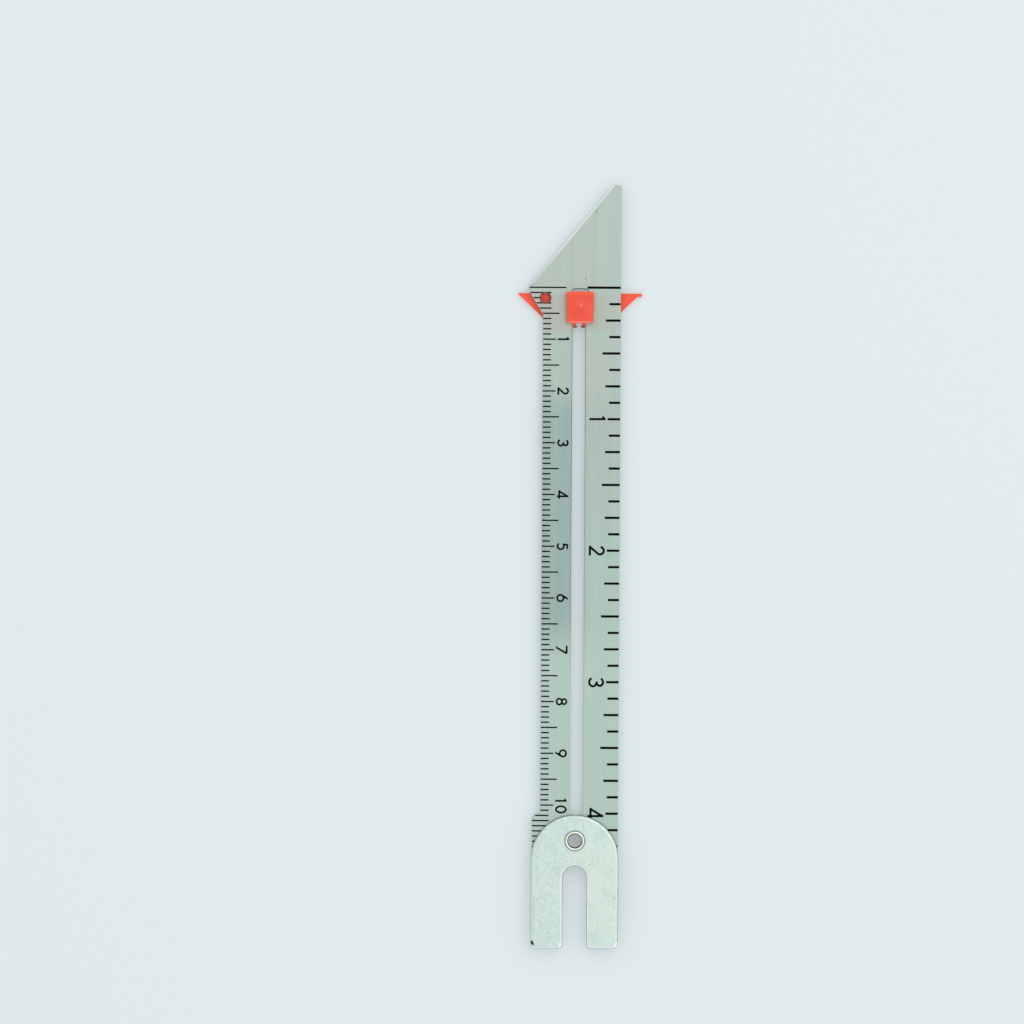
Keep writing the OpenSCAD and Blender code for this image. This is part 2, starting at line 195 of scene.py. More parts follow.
def circle_outline(at, r, count=72):
    """Circle of radius r about a point, as evenly spaced points."""
    turn = np.arange(count) * 2 * np.pi / count
    return np.asarray(at) + r * np.stack([np.cos(turn), np.sin(turn)], 1)


def edge_profile(low, high, low_r, high_r, steps, rest=0.03 * mm):
    """Pairs of inset and height that go from the upper face round the edge to the lower face.

    Both edges are quarter circles. The first and last pair lie flat on the faces, by the rest further in.
    """
    turn = np.linspace(0, np.pi / 2, steps + 1)
    upper = np.stack([high_r * (1 - np.sin(turn)), high - high_r * (1 - np.cos(turn))], 1)
    lower = np.stack([low_r * (1 - np.cos(turn)), low + low_r * (1 - np.sin(turn))], 1)
    return np.vstack([[(high_r + rest, high)], upper, lower, [(low_r + rest, low)]])


def carried(outline, profile, spread=1):
    """The profile carried round the outline, as a grid of points.

    Each inset is laid along the mitre of the outline's corner, to its left, and each height upwards. The
    spread widens the insets, by one number or by one for each point of the outline.
    """
    ahead = unit(np.roll(outline, -1, 0) - outline)
    inward = unit(left_of(ahead) + left_of(np.roll(ahead, 1, 0)))
    mitre = inward / np.sum(inward * left_of(ahead), 1, keepdims=True)
    flat = outline + profile[:, None, :1] * mitre * spread
    height = np.broadcast_to(profile[:, None, 1:], flat.shape[:2] + (1,))
    return np.concatenate([flat, height], 2)


def band_faces(rows, columns, first=0, ring=False):
    """Quads of a grid that closes on itself along its columns, and with ring along its rows too."""
    index = first + np.arange(rows * columns).reshape(rows, columns)
    below = np.roll(index, -1, 0)
    if not ring:
        index, below = index[:-1], below[:-1]
    return np.stack([index, below, np.roll(below, -1, 1), np.roll(index, -1, 1)], -1).reshape(-1, 4)


def flat_faces(loops, firsts, upward):
    """Triangles that fill the first loop up to the others, turned to face up or down."""
    index = np.concatenate([first + np.arange(len(loop)) for loop, first in zip(loops, firsts)])
    points = np.concatenate(loops)
    filled = np.array(tessellate_polygon([loop.tolist() for loop in loops]))
    a, b, c = (points[filled[:, k]] for k in range(3))
    up = np.sum(left_of((b - a)[:, :2]) * (c - a)[:, :2], 1) > 0
    filled[up != upward] = filled[up != upward][:, ::-1]
    return index[filled]


# Every shell is closed, and is given as its points, its groups of smooth faces and its groups of flat ones


def sheet_shell(rim, holes, low, high, low_r, high_r, steps=6, spread=1):
    """Flat sheet with rounded edges.

    The edge profile is carried round the rim to the left, with its spread, and round each hole to the right.
    """
    profile = edge_profile(low, high, low_r, high_r, steps)
    grids = [carried(rim, profile, spread)] + [carried(hole[::-1], profile) for hole in holes]
    firsts = np.cumsum([0] + [grid.shape[0] * grid.shape[1] for grid in grids[:-1]])
    last = len(profile) - 1
    smooth = [band_faces(*grid.shape[:2], first) for grid, first in zip(grids, firsts)]
    above = flat_faces([grid[0] for grid in grids], firsts, True)
    lower_firsts = [first + last * grid.shape[1] for grid, first in zip(grids, firsts)]
    below = flat_faces([grid[last] for grid in grids], lower_firsts, False)
    return np.concatenate([grid.reshape(-1, 3) for grid in grids]), smooth, [above, below]


def domed_shell(rim, low, high, low_r, high_r, crown, rings=30, steps=8):
    """Block with rounded edges and a crowned top.

    Within the edges the top is the rim drawn in towards its middle by a share s, and it falls from the
    crown by s squared. The underside is flat.
    """
    profile = edge_profile(low, high - crown, low_r, high_r, steps)
    wall = carried(rim, profile)
    middle = wall[0].mean(0) * (1, 1, 0)
    share = np.linspace(0, 1, rings + 1)[1:-1, None, None]
    top = middle + share * (wall[0] * (1, 1, 0) - middle)
    top[..., 2] = high - crown * share[..., 0] ** 2
    pole = middle + (0, 0, high)
    rows = np.concatenate([top, wall])
    columns = rows.shape[1]
    points = np.concatenate([rows.reshape(-1, 3), [pole]])
    ends = np.arange(columns)
    fan = np.stack([np.full(columns, len(points) - 1), ends, np.roll(ends, -1)], 1)
    below = flat_faces([rows[-1]], [(len(rows) - 1) * columns], False)
    return points, [band_faces(*rows.shape[:2]), fan], [below]


def turned_shell(section, sectors=96):
    """A section of radii and heights turned about the origin's axis."""
    turn = np.arange(sectors) * 2 * np.pi / sectors
    around = np.stack([np.cos(turn), np.sin(turn), np.zeros(sectors)], 1)
    rows = section[::-1, None, :1] * around + section[::-1, None, 1:] * (0, 0, 1)
    return rows.reshape(-1, 3), [band_faces(*rows.shape[:2], ring=True)], []


def add_piece(name, shells, body, node):
    """One object made of shells. It rides on a body and stands for a CAD node."""
    points, smooth, flat, count = [], [], [], 0
    for shell_points, shell_smooth, shell_flat in shells:
        points.append(shell_points)
        smooth += [faces + count for faces in shell_smooth]
        flat += [faces + count for faces in shell_flat]
        count += len(shell_points)
    polygons = [face for faces in smooth + flat for face in faces.tolist()]
    smooth_count = sum(len(faces) for faces in smooth)
    mesh = bpy.data.meshes.new(name)
    mesh.from_pydata(np.concatenate(points).tolist(), [], polygons)
    mesh.polygons.foreach_set("use_smooth", np.arange(len(polygons)) < smooth_count)
    piece = bpy.data.objects.new(name, mesh)
    bpy.context.scene.collection.objects.link(piece)
    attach(piece, body)
    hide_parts(node)
    return piece


def blade_rim():
    """The blade's outline, anticlockwise from the foot's lower left corner."""
    right = blade_high.x
    corners = [
        (foot_x, blade_low.y), (right, blade_low.y), (right, blade_high.y), (right - tip_w, blade_high.y),
        (blade_low.x, zero_y), (blade_low.x, notch_top), (rule_x, notch_foot), (rule_x, shoulder_y),
        (foot_x, shoulder_y),
    ]
    radii = np.array([2, 2, 0.5, 0.5, 0.2, 0.2, 0.2, 0.25, 1.3]) * mm
    return rounded(corners, radii)


def slot_rim():
    """The slot with its round lower end and its wider mouth, which closes in a flat arch.

    The arch is half an ellipse whose cosine and sine are each raised to the power of two thirds.
    """
    left, right = slot_x - slot_w / 2, slot_x + slot_w / 2
    mouth_left, mouth_right = mouth_x - mouth_w / 2, mouth_x + mouth_w / 2
    turn = np.linspace(0, np.pi, 41)
    power = 2 / 3
    arch_x = mouth_x + mouth_w / 2 * np.sign(np.cos(turn)) * np.abs(np.cos(turn)) ** power
    arch_y = slot_high - mouth_rise * (1 - np.abs(np.sin(turn)) ** power)
    lower = [(left, slot_low), (right, slot_low), (right, mouth_low), (mouth_right, mouth_low)]
    corners = lower + list(zip(arch_x, arch_y)) + [(mouth_left, mouth_low), (left, mouth_low)]
    radii = [1.25, 1.25, 0.06, 0.25] + [0] * len(turn) + [0.03, 0.03]
    return rounded(corners, np.array(radii) * mm)


def slant_spread(outline):
    """How far the edge spreads at each point of the outline: 1, and more along the collar point's slant.

    It grows with the cosine between the outline's direction and the slant's.
    """
    ahead = unit(np.roll(outline, -1, 0) - outline)
    cosine = np.maximum(ahead @ -slant, np.roll(ahead, 1, 0) @ -slant)
    share = np.clip((cosine - slant_in_line) / (1 - slant_in_line), 0, 1)
    return 1 + slant_grind * share[:, None]


def make_blade():
    """Stamped sheet: its printed side has rolled edges, and its back has nearly square ones.

    The collar point's slant is ground to a wider, shallower edge.
    """
    rim = blade_rim()
    holes = [slot_rim(), circle_outline((0, 0), barrel_hole_r), circle_outline(pencil_at, pencil_r)]
    shell = sheet_shell(
        rim, holes, blade_low.z, blade_high.z, blade_back_r, blade_roll, spread=slant_spread(rim)
    )
    return add_piece("blade_sheet", [shell], "blade_body", "blade")


def fork_rim():
    """Round head, two legs and the round-topped gap between them."""
    gap_left, gap_right = -gap_w / 2, gap_w / 2
    low, high = fork_low.y, fork_high.y
    corners = [
        (gap_left, low), (gap_left, gap_high), (gap_right, gap_high), (gap_right, low),
        (fork_high.x, low), (fork_high.x, high), (fork_low.x, high), (fork_low.x, low),
    ]
    radii = [0.7 * mm, gap_w / 2, gap_w / 2, 0.7 * mm, 1 * mm, fork_high.x, fork_high.x, 1 * mm]
    return rounded(corners, radii, 36)


def make_fork():
    """Thick sheet whose edges are well rolled over, with a small nick in its left leg's outer corner.

    Points of the rolled edge in the nick, which is an ellipse, sink by its depth times one less the square
    of their share of the way out from its centre. The flat face keeps its level.
    """
    holes = [circle_outline((0, 0), barrel_hole_r)]
    points, smooth, flat = sheet_shell(
        fork_rim(), holes, fork_low.z, fork_high.z, fork_back_r, fork_roll, 10, fork_roll_spread
    )
    off = points[:, :2] - nick_at
    lengthwise = off @ nick_along / nick_len
    crosswise = off @ left_of(nick_along) / nick_w
    rolled = (points[:, 2] < fork_high.z - hair) & (points[:, 2] > nick_low_z)
    points[:, 2] -= nick_depth * np.clip(1 - lengthwise**2 - crosswise**2, 0, 1) * rolled
    return add_piece("fork_sheet", [(points, smooth, flat)], "fork_body", "button_fork")


def make_rivet():
    """Hollow rivet with a flat head at the back and a rim rolled out over the fork.

    The rim swells and thins as it goes round: its radius shrinks by the swell's share times one plus the
    product of two sines, of five times and of twice the angle.
    """
    head_r = rivet_high.x
    corners = [
        (bore_r, rivet_low.z), (head_r, rivet_low.z), (head_r, 0), (barrel_r, 0),
        (barrel_r, rim_low), (rim_r, rim_low), (rim_r, rivet_high.z), (bore_r, rivet_high.z),
    ]
    radii = np.array([0.08, 0.16, 0.12, 0.02, 0.02, 0.07, 0.32, 0.32]) * mm
    points, smooth, flat = turned_shell(rounded(corners, radii, 10))
    turn = np.arctan2(points[:, 1], points[:, 0])
    outward = np.clip((np.hypot(points[:, 0], points[:, 1]) - barrel_r) / (rim_r - barrel_r), 0, 1)
    rolled = outward * (points[:, 2] > rim_low - 10 * hair)
    swell = 1 - rim_swell * rolled * (1 + np.sin(5 * turn + 0.7) * np.sin(2 * turn))
    points[:, :2] *= swell[:, None]
    return add_piece("hollow_rivet", [(points, smooth, flat)], "blade_body", "rivet")


def pointer_rim():
    """The plate's outline: a straight reading edge, a sharp left point and a blunt right one.

    The right wing's slanted edge is trimmed, and meets the blunt end a little above its foot.
    """
    edge = pointer_high.y
    middle = (pointer_low.x + pointer_high.x) / 2
    foot_left, foot_right = middle - pointer_foot_w / 2, middle + pointer_foot_w / 2 - right_trim
    stub_y = edge - blunt_tip + right_trim / 2
    stub_x = pointer_high.x - right_trim - (edge - pointer_tip - stub_y) / np.tan(pointer_slope)
    corners = [
        (pointer_low.x, edge), (pointer_low.x, edge - pointer_tip), (foot_left, pointer_low_y),
        (foot_right, pointer_low_y), (stub_x, stub_y), (pointer_high.x, edge - blunt_tip),
        (pointer_high.x, edge),
    ]
    radii = np.array([0.07, 0.07, 0.3, 0.3, 0.2, 0.35, 0.12]) * mm
    return rounded(corners, radii)


def leg_shells(side):
    """One spring leg: a straight bar under the neck, and a rounded foot that turns in at its end."""
    outer = slot_x + side * neck_w / 2
    bar = sorted((outer, outer - side * leg_w))
    foot = sorted((outer, outer - side * leg_foot_w))
    in_foot, in_neck = leg_low_y + 0.1 * mm, neck_low_y + 0.2 * mm
    bar_rim = box_outline(*bar, in_foot, in_neck, 0.15 * mm)
    foot_rim = box_outline(*foot, leg_low_y, leg_low_y + leg_foot_len, 0.2 * mm)
    foot_high_z = blade_high.z - leg_foot_drop
    return [
        sheet_shell(bar_rim, [], leg_low_z, blade_high.z, leg_back_r, leg_edge_r),
        sheet_shell(foot_rim, [], leg_low_z, foot_high_z, leg_back_r, leg_foot_edge_r),
    ]


def make_pointer():
    """Moulding behind the blade: the plate with its two points, the neck in the slot and the spring legs."""
    plate = sheet_shell(pointer_rim(), [], pointer_low.z, plate_high_z, plate_edge_r, plate_edge_r)
    neck_rim = box_outline(slot_x - neck_w / 2, slot_x + neck_w / 2, neck_low_y, neck_high_y, 0.12 * mm)
    in_plate = plate_high_z - 0.05 * mm
    neck = sheet_shell(neck_rim, [], in_plate, button_low.z, neck_edge_r, neck_edge_r)
    shells = [plate, neck, *leg_shells(-1), *leg_shells(1)]
    return add_piece("pointer_moulding", shells, "slider_body", "pointer_plate")


def button_rim():
    """Tapered outline whose two ends bulge. The bulge falls off with the square of the way from the middle.

    The two ends get points of their own between the corners, to bend at.
    """
    middle = (button_low.x + button_high.x) / 2
    half_w = (button_high.x - button_low.x) / 2
    top, foot = button_high.y - button_bulge, button_low.y + button_bulge
    corners = [
        (middle - button_foot_w / 2, foot), (middle + button_foot_w / 2, foot),
        (middle + half_w, top), (middle - half_w, top),
    ]
    lower_left, lower_right, upper_right, upper_left = np.split(rounded(corners, button_corner_r, 8), 4)
    inset = np.linspace(0, 1, 13)[1:-1, None]
    foot_line = lower_left[-1] + inset * (lower_right[0] - lower_left[-1])
    top_line = upper_right[-1] + inset * (upper_left[0] - upper_right[-1])
    outline = np.concatenate([lower_left, foot_line, lower_right, upper_right, top_line, upper_left])
    across = (outline[:, 0] - middle) / half_w
    upward = (outline[:, 1] - (top + foot) / 2) / ((top - foot) / 2)
    at_end = np.abs(upward) > 0.85
    outline[:, 1] += np.sign(upward) * button_bulge * (1 - across**2) * at_end
    return outline


def make_button():
    """Moulded button with rounded edges, a faintly crowned top and the shallow mark of its gate.

    The mark is a dish round a small nub, each half a cosine wave of the distance from its centre.
    """
    points, smooth, flat = domed_shell(
        button_rim(), button_low.z, button_high.z, button_back_r, button_edge_r, button_crown
    )
    middle = np.array([button_low.x + button_high.x, button_low.y + button_high.y]) / 2
    apart = np.linalg.norm(points[:, :2] - middle - gate_at, axis=1) / gate_r
    mark = hump(apart) - nub_height * hump(apart / nub_share)
    on_top = points[:, 2] > button_high.z - 0.5 * mm
    points[:, 2] -= gate_depth * mark * on_top
    shells = [(points, smooth, flat)]
    return add_piece("button_moulding", shells, "slider_body", "slider_button")


class Signal:
    """A socket in a finish. Arithmetic on it adds Math nodes."""

    def __init__(self, finish, socket):
        self.finish = finish
        self.socket = socket

    def maths(self, operation, *values):
        return self.finish.node("ShaderNodeMath", {"operation": operation}, dict(enumerate(values)))

    def __add__(self, other):
        return self.maths("ADD", self, other)

    __radd__ = __add__

    def __sub__(self, other):
        return self.maths("SUBTRACT", self, other)

    def __rsub__(self, other):
        return self.maths("SUBTRACT", other, self)

    def __mul__(self, other):
        return self.maths("MULTIPLY", self, other)

    __rmul__ = __mul__

    def __truediv__(self, number):
        return self * (1 / number)

    def size(self):
        """Its distance from 0."""
        return self.maths("ABSOLUTE", self)

    def root(self):
        """Its square root."""
        return self.maths("SQRT", self)

    def ramp(self, start, stop):
        """0 up to start and 1 past stop, with a smooth step between them."""
        limits = {"Value": self, "From Min": start, "From Max": stop}
        return self.finish.node("ShaderNodeMapRange", {"interpolation_type": "SMOOTHSTEP"}, limits)

    def band(self, start, full_from, full_to, stop):
        """1 from full_from to full_to, and 0 before start and past stop, with smooth steps between them."""
        return self.ramp(start, full_from) * (1 - self.ramp(full_to, stop))


def squares(first, second):
    """Sum of the squares of two signals."""
    return first * first + second * second


def socket_in_use(sockets, key):
    """The socket of that name or number, among those that the node's settings leave in use."""
    in_use = [socket for socket in sockets if socket.enabled]
    return in_use[key] if isinstance(key, int) else next(s for s in in_use if s.name == key)


class Finish:
    """Material with one Principled shader, whose constants are set on its own sockets."""

    def __init__(self, name, constants):
        self.material = bpy.data.materials.new(name)
        self.material.use_nodes = True
        self.tree = self.material.node_tree
        self.shader = self.tree.nodes["Principled BSDF"]
        self.place = self.node("ShaderNodeTexCoord", output="Object")
        for socket, value in constants.items():
            self.give(socket, value)

    def feed(self, socket, value):
        """Links a signal to a socket, or sets a plain value on it."""
        if isinstance(value, Signal):
            self.tree.links.new(value.socket, socket)
        else:
            socket.default_value = value

    def give(self, name, value):
        """Feeds the shader's socket of that name."""
        self.feed(self.shader.inputs[name], value)

    def node(self, kind, settings=None, inputs=None, output=0):
        """Any node: its settings come first, then the values or links of its sockets."""
        node = self.tree.nodes.new(kind)
        for name, value in (settings or {}).items():
            setattr(node, name, value)
        for key, value in (inputs or {}).items():
            self.feed(socket_in_use(node.inputs, key), value)
        return Signal(self, socket_in_use(node.outputs, output))

    def axis(self, letter):
        """One of the object's own coordinates, in metres."""
        return self.node("ShaderNodeSeparateXYZ", None, {"Vector": self.place}, letter)

    def stretched(self, across, along):
        """The object's own coordinates, so many cells to the metre across (and upwards) and along."""
        return self.node("ShaderNodeMapping", None, {"Vector": self.place, "Scale": (across, along, across)})

    def noise(self, across, along=None, detail=2.0, rough=0.5):
        """Cloudy noise from 0 to 1, with cells of 1 / across by 1 / along metres."""
        vector = self.stretched(across, across if along is None else along)
        inputs = {"Vector": vector, "Scale": 1.0, "Detail": detail, "Roughness": rough}
        return self.node("ShaderNodeTexNoise", None, inputs)

    def specks(self, across, radius, share):
        """1 inside round specks of a radius in metres, in that share of the cells of 1 / across metres."""
        inputs = {"Vector": self.stretched(across, across), "Scale": 1.0}
        distance = self.node("ShaderNodeTexVoronoi", None, inputs)
        tint = self.node("ShaderNodeTexVoronoi", None, inputs, "Color")
        chosen = self.node("ShaderNodeSeparateColor", None, {"Color": tint}).ramp(1 - share, 1.01 - share)
        reach = radius * across
        return (1 - distance.ramp(0.5 * reach, reach)) * chosen

    def spot(self, at, radius, core=0.5):
        """1 near a place, up to core times the radius from it, and 0 past the radius."""
        apart = squares(self.axis("X") - at[0], self.axis("Y") - at[1]) / radius**2
        return 1 - apart.ramp(core**2, 1.0)

    def spots(self, places, core=0.5):
        """Sum of the spots at a list of places and radii in millimetres."""
        return sum(self.spot((x * mm, y * mm), r * mm, core) for x, y, r in places)

    def mix(self, share, first, second):
        """Colour that goes from the first to the second with the share."""
        inputs = {"Factor": share, "A": first, "B": second}
        return self.node("ShaderNodeMix", {"data_type": "RGBA"}, inputs)

    def rolled_edge(self, start, stop):
        """1 where the surface turns away from flat, such as on rolled edges and walls, and 0 on both faces.

        The two limits are cosines of its tilt: 1 up to start, and 0 past stop.
        """
        normal = self.node("ShaderNodeTexCoord", output="Normal")
        up = self.node("ShaderNodeSeparateXYZ", None, {"Vector": normal}, "Z")
        return 1 - up.size().ramp(start, stop)

    def relief(self, height, depth):
        """Bump of that depth in metres where the height is 1."""
        inputs = {"Height": height, "Distance": depth, "Strength": 1.0}
        self.give("Normal", self.node("ShaderNodeBump", None, inputs))


def shade(red, green, blue):
    """Linear colour of a shade written as it shows on a screen, from 0 to 255."""
    share = np.array([red, green, blue]) / 255
    linear = np.where(share <= 0.04045, share / 12.92, ((share + 0.055) / 1.055) ** 2.4)
    return (*linear.tolist(), 1.0)


# Zones along the blade: where each begins and is full, and where it begins to fade and is gone
# Zone where the blade's metric half is darker
DARKER_ZONE = (33 * mm, 45 * mm, 82 * mm, 89 * mm)
# Zone of the warm painted reflection of the red slider on the blade
READING_ZONE = (97.5 * mm, 99.5 * mm, 104.5 * mm, 106.5 * mm)

# Larger specks on the collar point: their places and radii, in millimetres
BLADE_FLAWS = [(1.5, 108.6, 0.2), (3.45, 121.6, 0.18), (4.5, 122.6, 0.12)]

# Smudges on the fork, and bright glints at the corners of its legs, likewise
FORK_FLAWS = [
    (-5.0, -8.4, 0.26), (-5.3, -10.6, 0.22), (-6.6, -15.8, 0.3), (-6.6, -16.6, 0.2), (-5.2, -17.8, 0.24),
    (-7.2, -11.2, 0.24), (-2.1, -2.9, 0.17), (-0.4, -3.9, 0.17), (2.9, -4.6, 0.28), (7.7, -11.0, 0.22),
]
FORK_GLINTS = [(-2.68, -20.0, 0.32), (-2.9, -20.35, 0.26), (8.15, -19.75, 0.36), (7.85, -20.2, 0.32)]


def satin_sheet():
    """Blade: grey-green satin metal with lengthwise grain, cloudy patches and a few dark specks.

    The metric half is darker along its middle, and the reading zone by the slider carries a warm painted
    reflection of the red slider. Painted shade rims the pencil hole and the slot's arch, and a painted
    highlight runs along the collar point's ground slant, growing towards the tip.
    """
    finish = Finish("satin_sheet", {"Metallic": 1.0})
    grain = finish.noise(9000, 110, 3)
    broad = finish.noise(1700, 30, 2)
    patches = finish.noise(150, 90, 3)
    specks = finish.specks(230, 0.2 * mm, 0.12)
    across = finish.axis("X")
    along = finish.axis("Y")

    tinted = finish.mix(patches.ramp(0.35, 0.65), shade(172, 198, 187), shade(178, 197, 189))
    greyed = finish.mix(patches.ramp(0.4, 0.6), shade(167, 186, 176), shade(173, 184, 177))
    toned = finish.mix(along.ramp(50 * mm, 84 * mm), tinted, greyed)
    metric_half = 1 - 0.75 * across.ramp(-0.5 * mm, 3 * mm)
    # Darker along the middle of the metric half
    darkened = finish.mix(along.band(*DARKER_ZONE) * metric_half, toned, shade(149, 171, 166))
    # Painted reflection: a warm tint of the red slider on the blade by the reading zone
    reading = along.band(*READING_ZONE) * (0.6 - 0.4 * across.ramp(4 * mm, 8 * mm))
    recoloured = finish.mix(reading, darkened, shade(172, 168, 159))
    streaks = (0.55 * grain + 0.45 * broad).ramp(0.3, 0.72)
    streaked = finish.mix(0.18 * streaks, recoloured, shade(212, 222, 216))
    dark_marks = specks + finish.spots(BLADE_FLAWS)
    speckled = finish.mix(0.75 * dark_marks, streaked, shade(62, 70, 66))

    # Painted shade: a dark ring round the pencil hole
    hole_shade = finish.spot(pencil_at, pencil_r + 0.2 * mm, 0.88)
    hole_shaded = finish.mix(0.8 * hole_shade, speckled, shade(58, 36, 34))
    # Painted shade: a dark line along the slot's arch. The cubes of a point's shares of the arch's half
    # width and rise add up to 1 on the arch
    share_x = (across - mouth_x).size() / (mouth_w / 2 + arch_shade_w)
    share_y = (along - (slot_high - mouth_rise)) / (mouth_rise + arch_shade_w)
    cubes = share_x * share_x * share_x + share_y * share_y * share_y
    arch_shade = (1 - cubes.ramp(0.85, 1.1)) * share_y.ramp(-0.1, 0.1)
    arch_shaded = finish.mix(0.85 * arch_shade, hole_shaded, shade(44, 50, 50))
    # Painted highlight along the collar point's ground slant, stronger towards the tip
    slant_x, slant_y = slant.tolist()
    from_slant = (across - blade_low.x) * slant_y - (along - zero_y) * slant_x
    ground = (1 - from_slant.ramp(0.13 * mm, 0.26 * mm)) * along.ramp(zero_y + 0.4 * mm, zero_y + 1.2 * mm)
    lighter = 0.3 + 0.4 * along.ramp(zero_y + 2 * mm, zero_y + 10 * mm)

    finish.give("Base Color", finish.mix(ground * (lighter + 0.3 * patches), arch_shaded, shade(246, 250, 243)))
    finish.give("Roughness", 0.3 + 0.12 * grain + 0.1 * patches)
    finish.relief(0.5 * grain + broad - 2.0 * specks, 0.0025 * mm)
    return finish.material


def bright_sheet():
    """Fork: pale bright metal, brushed lengthwise, with a fine mottle, soft stains, small pits and a nick.

    The mottle is stronger on the left leg, and a ring of painted shade lies round the rivet. The rolled
    edges are a little paler all round and carry a painted highlight along the gap, at the legs' ends and in
    glints at two corners. Elsewhere they are rougher, round the head they are darkened as painted shade, and
    they darken as painted shade where they turn down to the cut wall.
    """
    finish = Finish("bright_sheet", {"Metallic": 1.0})
    grain = finish.noise(7000, 140, 3)
    stains = finish.noise(420, 300, 3)
    smudges = finish.noise(1100, 800, 3)
    mottle = finish.noise(2600, 2200, 3)
    warm = finish.noise(110, 80, 2)
    pits = finish.specks(420, 0.2 * mm, 0.3)
    scratches = finish.noise(5200, 90, 1).ramp(0.66, 0.74)
    across = finish.axis("X")
    along = finish.axis("Y")

    base = finish.mix(warm.ramp(0.35, 0.65), shade(213, 234, 229), shade(218, 235, 225))
    stained = finish.mix(0.34 * stains.ramp(0.5, 0.7), base, shade(186, 208, 200))
    smudged = finish.mix(0.34 * smudges.ramp(0.55, 0.7), stained, shade(180, 200, 190))
    left_leg = 1 - across.ramp(-3 * mm, 2 * mm)
    mottled = finish.mix(mottle.ramp(0.36, 0.64) * (0.24 + 0.16 * left_leg), smudged, shade(179, 199, 194))
    brushed = finish.mix(0.25 * grain.ramp(0.3, 0.75), mottled, shade(228, 240, 232))
    by_rivet = finish.spot((0, 0), 5.5 * mm, 0.4)
    scratched = finish.mix(scratches * (0.1 + 0.4 * by_rivet), brushed, shade(150, 166, 160))
    # Painted shade: a dark ring on the fork round the rivet's rim, mixed in with the real pits and smudges
    rivet_shade = finish.spot((0, 0), rim_r + 0.17 * mm, 0.94)
    dark_marks = 0.35 * pits + 0.6 * smudges * finish.spots(FORK_FLAWS, 0.1) + 0.6 * rivet_shade
    pitted_and_shaded = finish.mix(dark_marks, scratched, shade(120, 134, 128))

    # Zones beside the gap and at the legs' ends, where a highlight is painted on the rolled edges
    zone_from, zone_to = 0.6 * mm, 0.8 * mm
    beside_gap = 1 - across.size().ramp(gap_w / 2 + zone_from, gap_w / 2 + zone_to)
    below_head = 1 - along.ramp(gap_high + zone_from, gap_high + zone_to)
    by_end = 1 - along.ramp(fork_low.y + 0.7 * mm, fork_low.y + 1.1 * mm)
    recoloured = 1 - (1 - beside_gap * below_head) * (1 - by_end)
    rolled = finish.rolled_edge(0.86, 0.985)
    # Rolled edges outside those zones are rougher, and round the head they are darkened as painted shade
    dull_and_shaded = rolled * (1 - recoloured)
    on_head = along.ramp(-2 * mm, 1 * mm)
    darkened = finish.mix(0.5 * dull_and_shaded * on_head, pitted_and_shaded, shade(176, 196, 188))
    # Rolled edges a little paler all round, and whitened as a painted highlight in those zones
    polish_and_highlight = finish.mix(rolled * (0.1 + 0.88 * recoloured), darkened, shade(254, 255, 253))
    # Painted glints at two corners of the legs
    for x, y, r in FORK_GLINTS:
        glint = finish.spot((x * mm, y * mm), r * mm, 0.3)
        polish_and_highlight = finish.mix(0.75 * glint, polish_and_highlight, shade(254, 255, 255))
    # Painted shade where the rolled edges turn down to the cut wall
    wall_shaded = finish.mix(0.85 * finish.rolled_edge(0.5, 0.74), polish_and_highlight, shade(96, 108, 106))

    turn_x, turn_y = nick_along.tolist()
    off_x, off_y = across - nick_at[0], along - nick_at[1]
    lengthwise = (turn_x * off_x + turn_y * off_y) / nick_len
    crosswise = (turn_x * off_y - turn_y * off_x) / nick_w
    nick = 1 - squares(lengthwise, crosswise).ramp(0.5, 1.0)

    finish.give("Base Color", finish.mix(0.95 * nick, wall_shaded, shade(22, 25, 27)))
    finish.give("Roughness", 0.3 + 0.12 * grain + 0.15 * pits + 0.35 * dull_and_shaded)
    finish.relief(grain - 1.5 * pits - 0.8 * scratches, 0.003 * mm)
    return finish.material


def plated_rivet():
    """Rivet: cream plating, with a polish on the roll, and painted shade in its bore and under its rim."""
    finish = Finish("plated_rivet", {"Metallic": 1.0})
    grain = finish.noise(2600, detail=3)
    from_axis = squares(finish.axis("X"), finish.axis("Y")).root()
    # Painted shade: dark rings inside the bore and under the rolled rim
    in_bore = 1 - from_axis.ramp(bore_r + 0.13 * mm, bore_r + 0.22 * mm)
    under_rim = from_axis.ramp(rim_r - 0.15 * mm, rim_r - 0.07 * mm)
    shade_rings = (in_bore + under_rim) * (0.75 + 0.25 * grain)
    plating = finish.mix(grain.ramp(0.35, 0.7), shade(232, 238, 222), shade(248, 250, 236))
    finish.give("Base Color", finish.mix(shade_rings, plating, shade(70, 62, 52)))
    finish.give("Roughness", 0.22 + 0.16 * grain + 0.2 * shade_rings)
    finish.relief(grain, 0.004 * mm)
    return finish.material


def moulded_plastic(name, main, deep, edge):
    """Slider: semi-gloss plastic with a cloudy tint, a fine moulded skin and edges made paler as painted
    sheen.

    Its colour comes back beside it, for each half of the slider to add its own marks.
    """
    finish = Finish(name, {"Metallic": 0.0, "IOR": 1.49})
    clouds = finish.noise(700, detail=3)
    skin = finish.noise(9000, detail=2)
    tinted = finish.mix(clouds.ramp(0.3, 0.72), main, deep)
    finish.give("Roughness", 0.34 + 0.14 * skin)
    finish.relief(0.4 * skin + clouds, 0.006 * mm)
    # The edges take the edge colour as a painted sheen
    return finish, finish.mix(0.35 * finish.rolled_edge(0.55, 0.95), tinted, edge)


